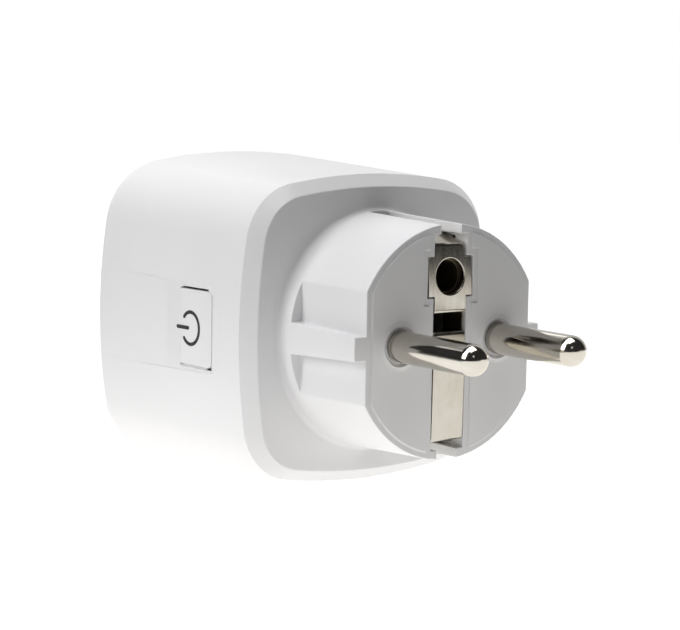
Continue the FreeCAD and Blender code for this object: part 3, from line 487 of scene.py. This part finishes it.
def arc(centre, radius, first, last):
    """Points of an arc on the slope, with angles in degrees from along towards across."""
    turns = [math.radians(first + (last - first) * i / ARC_STEPS) for i in range(ARC_STEPS + 1)]
    return [(centre[0] + radius * math.cos(a), centre[1] + radius * math.sin(a)) for a in turns]


def slab(form, outline, low, high):
    """Adds a closed slab that fills an outline between two heights, and returns its top face."""
    top = [form.verts.new(on_slope(u, v, high)) for u, v in outline]
    base = [form.verts.new(on_slope(u, v, low)) for u, v in outline]
    form.faces.new(base[::-1])
    join_loops(form, base, top)
    return form.faces.new(top)


# ---------------------------------------------------------------- the button's tongue

TONGUE_ROOT = -40.6
TONGUE_END = -28.75
TONGUE_HALF = 6.0
TONGUE_THICK = 1.4
TONGUE_CORNER = 0.9
TONGUE_EDGE = 0.22
TONGUE_EDGE_SEGMENTS = 4
CORNER_ALONG = TONGUE_END - TONGUE_CORNER
CORNER_ACROSS = TONGUE_HALF - TONGUE_CORNER

# the skin over the tongue's root: the upper half of its outline, its depth, and its low crown
SKIN_OUTLINE = ((-36.8, 6.25), (-37.1, 6.6), (-41.0, 6.6), (-41.3, 6.3))
SKIN_DEPTH = 0.12
SKIN_CROWN = 0.014
SKIN_CROWN_BORDER = 0.7

# the stretch that bends when the button is pressed, and the cuts made across it
HINGE_TOP = -38.6
HINGE_FOOT = -41.2
HINGE_CUTS = 8
HINGE_CUT_START = HINGE_TOP + 0.3

# the nib that presses the switch: its place along Y, and its rings as (x, radius)
NIB_PLACE = -31.0
NIB_RINGS = ((21.92, 0.55), (22.00, 0.72), (22.17, 0.80), (23.10, 0.80))
NIB_SIDES = 24


def add_plate(form):
    """The tongue's plate, with a soft edge all round but at its root."""
    outline = [(TONGUE_ROOT, -TONGUE_HALF)]
    outline += arc((CORNER_ALONG, -CORNER_ACROSS), TONGUE_CORNER, -90, 0)
    outline += arc((CORNER_ALONG, CORNER_ACROSS), TONGUE_CORNER, 0, 90)
    outline += [(TONGUE_ROOT, TONGUE_HALF)]
    face = slab(form, outline, -TONGUE_THICK, 0.0)
    root_y = on_slope(TONGUE_ROOT, 0).y + SAME_PLACE * MM
    rim = [e for e in face.edges if max(v.co.y for v in e.verts) > root_y]
    bmesh.ops.bevel(
        form,
        geom=rim,
        offset=TONGUE_EDGE * MM,
        segments=TONGUE_EDGE_SEGMENTS,
        affect="EDGES",
        profile=0.5,
    )


def add_skin(form):
    """A thin skin that carries the tongue's root into the recess's floor."""
    lower = [(u, -v) for u, v in reversed(SKIN_OUTLINE)]
    cover = slab(form, [*SKIN_OUTLINE, *lower], -SKIN_DEPTH, 0.0)
    bmesh.ops.inset_region(form, faces=[cover], thickness=SKIN_CROWN_BORDER * MM)
    rise = on_slope(0, 0, SKIN_CROWN) - on_slope(0, 0)
    bmesh.ops.translate(form, verts=cover.verts, vec=rise)


def add_nib(form):
    """The round nib behind the tongue."""
    loops = [
        [
            form.verts.new(at(x, NIB_PLACE + radius * math.cos(a), radius * math.sin(a)))
            for a in full_turn(NIB_SIDES)
        ]
        for x, radius in NIB_RINGS
    ]
    form.faces.new(loops[0])
    form.faces.new(loops[-1][::-1])
    for low, high in zip(loops, loops[1:]):
        join_loops(form, low, high)


def add_tongue():
    """The button's tongue: a plate, the skin over its root, and the nib behind it."""
    form = bmesh.new()
    add_plate(form)
    add_skin(form)
    along = on_slope(1, 0) - on_slope(0, 0)
    for step in range(1, HINGE_CUTS + 1):
        back = (HINGE_FOOT - HINGE_TOP) * step / (HINGE_CUTS + 1)
        cut(form, on_slope(HINGE_CUT_START + back, 0), along)
    add_nib(form)
    tongue = finish_mesh("button_tongue", form, FINISHES["button_white"])
    shade(tongue)
    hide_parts("power_button")
    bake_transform(tongue)


# ---------------------------------------------------------------- the button's symbol

# the open ring's centre, radii and half turn, the bar's ends, and the ink's section
RING_CENTRE = (-34.2, -0.17)
RING_RADII = (2.24, 2.55)
RING_TURN = math.radians(138.5)
RING_STEPS = 48
RING_WIDTH = 0.56
BAR_ENDS = ((-37.6, -0.18), (-34.849, -0.18))
BAR_WIDTH = 0.60
INK_HEIGHT = 0.024
INK_DEPTH = 0.02


def stroke(form, line, width):
    """A printed stroke with round ends: a ribbon along a line of points on the slope."""
    half = width / 2
    padded = [line[0], *line, line[-1]]
    headings = [math.atan2(b[1] - a[1], b[0] - a[0]) for a, b in zip(padded, padded[2:])]
    sides = [(half * math.sin(h), half * math.cos(h)) for h in headings]
    left = [(u - du, v + dv) for (u, v), (du, dv) in zip(line, sides)]
    right = [(u + du, v - dv) for (u, v), (du, dv) in zip(line, sides)]
    first, last = math.degrees(headings[0]), math.degrees(headings[-1])
    front = arc(line[-1], half, last - 90, last + 90)[1:-1]
    back = arc(line[0], half, first + 90, first + 270)[1:-1]
    slab(form, right + front + left[::-1] + back, -INK_DEPTH, INK_HEIGHT)


def add_symbol():
    """A plain power symbol on the tongue: an open ring and a bar that points into its gap."""
    form = bmesh.new()
    turns = [RING_TURN * (1 - 2 * i / RING_STEPS) for i in range(RING_STEPS + 1)]
    ring = [
        (RING_CENTRE[0] + RING_RADII[0] * math.cos(a), RING_CENTRE[1] + RING_RADII[1] * math.sin(a))
        for a in turns
    ]
    stroke(form, ring, RING_WIDTH)
    stroke(form, BAR_ENDS, BAR_WIDTH)
    symbol = finish_mesh("button_symbol", form, INK)
    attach(symbol, "button")


# ---------------------------------------------------------------- the button's opening and recess

# ledges in the opening, as stretches along and across the slope and the heights of their tops
LEDGE_FOOT = -0.9
LEDGE_GAP = 0.02
LOWER_LEDGE = ((-37.45, -30.2), (-6.5, -6.03), -0.22)
END_LEDGE = ((TONGUE_END + LEDGE_GAP, -27.55), (-6.35, 6.45), -0.12)
TAPER = ((-36.9, -36.1), (6.05, 6.5), -0.02)

# the casing's side: its x at the plug-side edge, its widening per mm, and its crown's radius
SIDE_X = 24.35
SIDE_EDGE = -20.75
SIDE_WIDENING = 0.045
SIDE_CROWN = 95.0

# the recess: half its height at the plug-side end, and how much that grows along its length
RECESS_HALF = 6.75
RECESS_END = -27.3
RECESS_LENGTH = 28.7
RECESS_FLARE = 0.67

# the patch that ends the recess: its stretch along Y, the stretch of its rise, its grid, how far
# it overlaps the recess's walls, stands proud, is tucked in at its border and goes down
RUNOUT_START = -44.0
RUNOUT_LENGTH = 14.4
RUNOUT_RISE = 13.0
RUNOUT_ROWS, RUNOUT_COLUMNS = 44, 40
RUNOUT_OVERLAP = 0.04
RUNOUT_PROUD = 0.012
RUNOUT_TUCK = 0.06
RUNOUT_THICK = 0.25
LEAD_ROWS, BORDER_ROWS = 8, 4
# its widening at the end: where that starts, over which length, and how much it is
SPILL_START = -51.0
SPILL_LENGTH = 4.5
SPILL = 0.36


def add_ledges():
    """Shallow ledges of the casing in the gaps beside and beyond the tongue."""
    form = bmesh.new()
    (root, end), (outer, inner), top = LOWER_LEDGE
    slab(form, [(root, outer), (end, outer), (end, inner), (root, inner)], LEDGE_FOOT, top)
    (start, end), (low, high), top = END_LEDGE
    outline = [(start, low), (end, low), (end, high), (CORNER_ALONG, high)]
    outline += arc((CORNER_ALONG, CORNER_ACROSS), TONGUE_CORNER + LEDGE_GAP, 90, 0)
    slab(form, outline, LEDGE_FOOT, top)
    (root, end), (inner, outer), top = TAPER
    for side in (1, -1):
        outline = [(root, outer * side), (end, outer * side), (root, inner * side)]
        slab(form, outline[::side], LEDGE_FOOT, top)
    ledges = finish_mesh("button_opening_ledge", form, FINISHES["shell_white"])
    shade(ledges)
    fix_to_housing(ledges)


def floor_x(y):
    """The x of the recess's sloped floor, in millimetres."""
    return RECESS_START - y * math.tan(RECESS_TILT)


def side_x(y, z):
    """The x of the casing's crowned side at a point, all in millimetres."""
    widening = (SIDE_EDGE - y) * SIDE_WIDENING
    crown = SIDE_CROWN + widening
    return SIDE_X + widening - (crown - math.sqrt(crown * crown - z * z))


def runout_half(y):
    """Half the patch's height: the recess's, and at its end more, so that no edge shows."""
    flare = min((RECESS_END - y) / RECESS_LENGTH, 1.0) * RECESS_FLARE
    spill = clamp((SPILL_START - y) / SPILL_LENGTH)
    return RECESS_HALF + flare + RUNOUT_OVERLAP + SPILL * spill * spill


def runout_x(y, z, inside):
    """The patch's x: it rises from the recess's floor to the side, and its border is tucked in."""
    inner, outer = floor_x(y), side_x(y, z)
    rise = max(outer - inner, 0.0) * ease((RUNOUT_START - y) / RUNOUT_RISE)
    return min(inner, outer) + rise + RUNOUT_PROUD - RUNOUT_TUCK * (1 - inside)


def border(grid):
    """The vertices round a grid, in order."""
    right = [row[-1] for row in grid[1:-1]]
    left = [row[0] for row in grid[-2:0:-1]]
    return grid[0] + right + grid[-1][::-1] + left


def add_runout():
    """The socket end of the recess, where its floor rises smoothly into the casing's side."""
    form = bmesh.new()
    top, base = [], []
    for i in range(RUNOUT_ROWS + 1):
        y = RUNOUT_START - RUNOUT_LENGTH * i / RUNOUT_ROWS
        top.append([])
        base.append([])
        for j in range(RUNOUT_COLUMNS + 1):
            z = runout_half(y) * (2 * j / RUNOUT_COLUMNS - 1)
            rim = min(RUNOUT_ROWS - i, j, RUNOUT_COLUMNS - j) / BORDER_ROWS
            x = runout_x(y, z, min(i / LEAD_ROWS, rim, 1.0))
            top[-1].append(form.verts.new(at(x, y, z)))
            base[-1].append(form.verts.new(at(min(floor_x(y), x) - RUNOUT_THICK, y, z)))
    for grid in (top, base):
        for here, there in zip(grid, grid[1:]):
            for j in range(RUNOUT_COLUMNS):
                form.faces.new((here[j], here[j + 1], there[j + 1], there[j]))
    join_loops(form, border(top), border(base))
    runout = finish_mesh("recess_runout", form, FINISHES["shell_white"], smooth=True)
    fix_to_housing(runout)


# ---------------------------------------------------------------- the plug's earth strips

# how far the bow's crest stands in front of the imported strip, and how much wider its plain
# stretch is made
STRIP_FORWARD = 0.5
STRIP_SPREAD = 1.01
STRIP_HALF = 3.05
# the strip stays where it is behind this Y, and is fully bowed this far in front of it
STRIP_REAR = -5.0
STRIP_FADE = 3.5
# the cuts that let it bend, and the lengths for cleaning up after them
CUT_SPACING = 0.4
MERGE_REACH = 0.002
SHORT_EDGE = 0.001
# how the front plate and the hole's wall are told from other faces
FRONT_FACING = 0.999
WALL_FACING = 0.3
WALL_REACH = 2.72


def evaluated(node):
    """A copy of a CAD node's mesh with its modifiers applied."""
    graph = bpy.context.evaluated_depsgraph_get()
    graph.update()
    return bpy.data.meshes.new_from_object(node.evaluated_get(graph))


def bow_forward(form, crest, bend, low, high):
    """Bows a strip's front about its crest, and returns the normal of each vertex.

    On the front plate normals come from the bow's formula, and elsewhere from the faces around.
    """
    form.normal_update()
    plate = {vert for face in form.faces if face.normal.y > FRONT_FACING for vert in face.verts}
    normals = {}
    for vert in form.verts:
        x, y, z = vert.co / MM
        front = ease((y - STRIP_REAR) / STRIP_FADE)
        fall = min(max(z, low), high) - crest
        y += front * (STRIP_FORWARD - 0.5 * bend * fall * fall)
        if abs(x) < STRIP_HALF:
            x *= STRIP_SPREAD
        vert.co = at(x, y, z)
        if vert in plate:
            normals[vert] = Vector((0, 1, front * bend * fall)).normalized()
    form.normal_update()
    for vert in form.verts:
        if vert not in normals:
            mean = sum((face.normal * face.calc_area() for face in vert.link_faces), Vector())
            normals[vert] = mean.normalized() if mean.length > 0 else vert.normal.copy()
    return [normals[vert] for vert in form.verts]


def add_earth_strip(node_name, name, crest, bow, low, high):
    """A plug earth strip, sprung into a slight bow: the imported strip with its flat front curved.

    crest is the height where the bow stands furthest forward, bow its turn in degrees per mm,
    and low and high are the heights between which it bends.
    """
    form = bmesh.new()
    form.from_mesh(evaluated(NODES[node_name]))
    steps = round((high - low) / CUT_SPACING)
    for i in range(1, steps):
        cut(form, at(0, 0, low + (high - low) * i / steps), (0, 0, 1))
    bmesh.ops.remove_doubles(form, verts=form.verts[:], dist=MERGE_REACH * MM)
    bmesh.ops.dissolve_degenerate(form, edges=form.edges[:], dist=SHORT_EDGE * MM)
    normals = bow_forward(form, crest, math.radians(bow), low, high)
    strip = finish_mesh(name, form, FINISHES["earth_nickel"], smooth=True)
    strip.data.normals_split_custom_set_from_vertices(normals)
    # the hole's wall gets the darkened brass: painted shade inside the hole
    strip.data.materials.append(BORE_SHADE_METAL)
    for face in strip.data.polygons:
        out = Vector((face.center.x, 0, face.center.z)) - at(0, 0, EARTH_HOLE_HEIGHT)
        in_hole = abs(face.normal.y) < WALL_FACING and out.length < WALL_REACH * MM
        face.material_index = 1 if in_hole else 0
    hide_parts(node_name)
    fix_to_housing(strip)


# ---------------------------------------------------------------- details of the plug's face

LINER_CENTRE = Vector((-2.98, -2.9, 3.05))
LINER_SIZE = Vector((0.16, 4.4, 4.3))
LINER_EDGE = 0.05

# (radius, y) loops of the moulding in each pin's hole and of the bead round it
SEAT_PROFILE = ((2.24, -1.6), (2.24, -0.16), (2.30, -0.12), (2.72, -0.12), (2.72, -1.6))
BEAD_PROFILE = (
    (2.95, -0.15),
    (2.98, 0.12),
    (3.03, 0.26),
    (3.11, 0.33),
    (3.20, 0.345),
    (3.29, 0.32),
    (3.38, 0.28),
    (3.50, 0.264),
    (3.70, 0.256),
    (3.80, 0.24),
    (3.80, -0.15),
)


def add_window_liner():
    """The folded side of the earth link that lines the far wall of the face's window."""
    form = bmesh.new()
    bmesh.ops.create_cube(form, size=1.0)
    for vert in form.verts:
        vert.co = (LINER_CENTRE + vert.co * LINER_SIZE) * MM
    edge = LINER_EDGE * MM
    bmesh.ops.bevel(form, geom=form.edges[:], offset=edge, segments=2, affect="EDGES")
    # the darkened brass paints shade into the window
    liner = finish_mesh("earth_window_liner", form, BORE_SHADE_METAL)
    shade(liner)
    fix_to_housing(liner)


def add_pin_seats():
    """The white moulding close round each pin, just under the face, and a low bead round it."""
    form = bmesh.new()
    for centre_x in (PIN_OFFSET, -PIN_OFFSET):
        spin(form, centre_x, SEAT_PROFILE)
        spin(form, centre_x, BEAD_PROFILE)
    seats = finish_mesh("pin_seat_rings", form, FINISHES["base_white"])
    shade(seats)
    fix_to_housing(seats)


# ---------------------------------------------------------------- camera

CAMERA_AZIMUTH = math.radians(143.17)
CAMERA_ELEVATION = math.radians(6.97)
CAMERA_ROLL = math.radians(0.985)
CAMERA_DISTANCE = 355.5 * MM
CAMERA_AIM = at(0, -20, 0)
CAMERA_SLIDE = Vector((-4.59, 1.98)) * MM
CAMERA_LENS = 118.7
CAMERA_SENSOR = 36.0


def add_camera():
    """The photo's camera: it looks at the aim from a bearing, rolled and slid a little."""
    flat = math.cos(CAMERA_ELEVATION)
    back = Vector(
        (
            math.sin(CAMERA_AZIMUTH) * flat,
            -math.cos(CAMERA_AZIMUTH) * flat,
            math.sin(CAMERA_ELEVATION),
        )
    )
    level = Vector((0, 0, 1)).cross(back).normalized()
    upright = back.cross(level)
    right = level * math.cos(CAMERA_ROLL) + upright * math.sin(CAMERA_ROLL)
    up = upright * math.cos(CAMERA_ROLL) - level * math.sin(CAMERA_ROLL)
    data = bpy.data.cameras.new("camera")
    data.lens = CAMERA_LENS
    data.sensor_width = CAMERA_SENSOR
    data.clip_start = 0.01
    data.clip_end = 50.0
    camera = bpy.data.objects.new("camera", data)
    turn = Matrix((right, up, back)).transposed().to_4x4()
    spot = CAMERA_AIM + back * CAMERA_DISTANCE + right * CAMERA_SLIDE.x + up * CAMERA_SLIDE.y
    camera.matrix_world = Matrix.Translation(spot) @ turn
    bpy.context.scene.collection.objects.link(camera)
    bpy.context.scene.camera = camera


# ---------------------------------------------------------------- floor, lights and sky

FLOOR_REACH = 6.0
FLOOR_DROP = 0.02 * MM
FLOOR_TONE = (0.3, 0.3, 0.3)
FLOOR_SEEN_TONE = (0.10, 0.10, 0.10)
FLOOR_TINT = (1.0, 0.985, 0.955)

# the floor's glow as light: near the part and further off, with the distances where it fades
GLOW_CENTRE = (0.0, -0.02)
FLOOR_NEAR = 1.02
FLOOR_MID = 0.22
NEAR_FADE = (0.06, 0.11)
FAR_FADE = (0.16, 0.26)
# the floor's glow in reflections: dim behind the casing, bright elsewhere, and the Y between
FLOOR_SHINE = 0.95
FLOOR_DIM = 0.10
SHINE_FADE = (-0.16, -0.06)

PART_AIM = (0, -0.03, 0)
PIN_AIM = (0, 0.01, 0)
# name, place, aim, width, height, power, and the kind of surface that it lights
LIGHTS = (
    ("overhead", (0.05, -0.03, 0.80), PART_AIM, 0.60, 0.60, 4.4, "any"),
    ("right_side", (-0.55, -0.10, 0.22), PART_AIM, 0.30, 0.30, 1.5, "matt"),
    ("left_high", (0.64, -0.18, 0.33), PART_AIM, 0.40, 0.40, 2.9, "any"),
    ("card_behind", (-0.05, -0.60, 0.36), PIN_AIM, 0.60, 0.22, 0.55, "glossy"),
    ("card_left", (0.46, -0.14, 0.58), PIN_AIM, 0.30, 0.42, 1.6, "glossy"),
    ("card_front", (0.22, 0.44, 0.30), PIN_AIM, 0.10, 0.10, 0.035, "glossy"),
)

AMBIENT = 0.03
BACKDROP = 0.62
BACKDROP_WAY = (-0.60, -0.80, 0.0)
BACKDROP_FADE = (0.45, 0.70)


def floor_paper(floor_z):
    """Pale paper that glows round the part, and that the camera sees burnt out to white."""
    material = bpy.data.materials.new("floor_paper")
    tree = Tree(material)
    path = tree.add("ShaderNodeLightPath")
    seen = path.outputs["Is Camera Ray"]
    spot = tree.add("ShaderNodeNewGeometry").outputs["Position"]
    away = tree.vectors("DISTANCE", spot, (*GLOW_CENTRE, floor_z))
    close = tree.spread(away, FLOOR_NEAR, FLOOR_MID, *NEAR_FADE)
    lit = tree.maths("MULTIPLY", close, tree.spread(away, 1.0, 0.0, *FAR_FADE))
    parts = tree.add("ShaderNodeSeparateXYZ")
    tree.feed(parts, 0, spot)
    ahead = tree.spread(parts.outputs["Y"], FLOOR_DIM, FLOOR_SHINE, *SHINE_FADE)
    shine = tree.maths("MULTIPLY", path.outputs["Is Glossy Ray"], ahead)
    warm = tree.add("ShaderNodeVectorMath", operation="SCALE")
    tree.feed(warm, 0, FLOOR_TINT)
    tree.feed(warm, "Scale", tree.maths("MAXIMUM", lit, shine))
    shader = tree.surface(
        Base_Color=tree.mix(seen, rgb(*FLOOR_TONE), rgb(*FLOOR_SEEN_TONE)),
        Roughness=1.0,
        Normal=tree.bump(tree.noise(tree.place(), 1.5, rough=0.6), 2e-6),
    )
    tree.feed(shader, "Specular IOR Level", 0.0)
    tree.feed(shader, "Emission Color", tree.mix(seen, warm.outputs["Vector"], rgb(1, 1, 1)))
    tree.feed(shader, "Emission Strength", 1.0)
    material.cycles.emission_sampling = "NONE"
    return material


def add_floor():
    """A wide sheet of paper just under the casing."""
    mesh = bpy.data.meshes.new("floor")
    form = bmesh.new()
    bmesh.ops.create_grid(form, x_segments=2, y_segments=2, size=FLOOR_REACH)
    form.to_mesh(mesh)
    form.free()
    floor = bpy.data.objects.new("floor", mesh)
    floor.location.z = cad_box[0].z - FLOOR_DROP
    bpy.context.scene.collection.objects.link(floor)
    mesh.materials.append(floor_paper(floor.location.z))


def add_light(name, place, aim, width, height, power, surfaces):
    """A soft rectangular lamp that the camera doesn't see."""
    panel = bpy.data.lights.new(name, "AREA")
    panel.shape = "RECTANGLE"
    panel.size = width
    panel.size_y = height
    panel.energy = power
    light = bpy.data.objects.new(name, panel)
    facing = (Vector(aim) - Vector(place)).to_track_quat("-Z", "Y")
    light.matrix_world = Matrix.Translation(place) @ facing.to_matrix().to_4x4()
    light.visible_camera = False
    light.visible_diffuse = surfaces != "glossy"
    light.visible_glossy = surfaces != "matt"
    bpy.context.scene.collection.objects.link(light)


def add_sky():
    """White behind the object for the camera; as light, a bright backdrop in a dim room."""
    world = bpy.data.worlds.new("studio")
    bpy.context.scene.world = world
    tree = Tree(world)
    seen = tree.add("ShaderNodeLightPath").outputs["Is Camera Ray"]
    where = tree.add("ShaderNodeTexCoord").outputs["Generated"]
    behind = tree.vectors("DOT_PRODUCT", where, BACKDROP_WAY)
    wall = tree.spread(behind, AMBIENT, AMBIENT + BACKDROP, *BACKDROP_FADE)
    sky = tree.add("ShaderNodeBackground")
    tree.feed(sky, "Color", rgb(1, 1, 1))
    tree.feed(sky, "Strength", tree.maths("MAXIMUM", seen, wall))
    out = tree.add("ShaderNodeOutputWorld")
    tree.feed(out, "Surface", sky.outputs[0])


# ---------------------------------------------------------------- build

paint_nodes()
for label, width, smallest, even in SOFT_EDGES:
    soften(NODES[label], width, smallest, even)

add_earth_strip("plug_earth_upper", "earth_strip_upper", crest=5.4, bow=0.9, low=4.4, high=15.0)
add_earth_strip("plug_earth_lower", "earth_strip_lower", crest=-3.0, bow=0.15, low=-15.0, high=1.65)
add_window_liner()
add_pin_seats()
add_tongue()
add_ledges()
add_runout()
add_symbol()

add_camera()
add_floor()
add_sky()
for light in LIGHTS:
    add_light(*light)
bpy.context.scene.view_settings.view_transform = "Standard"
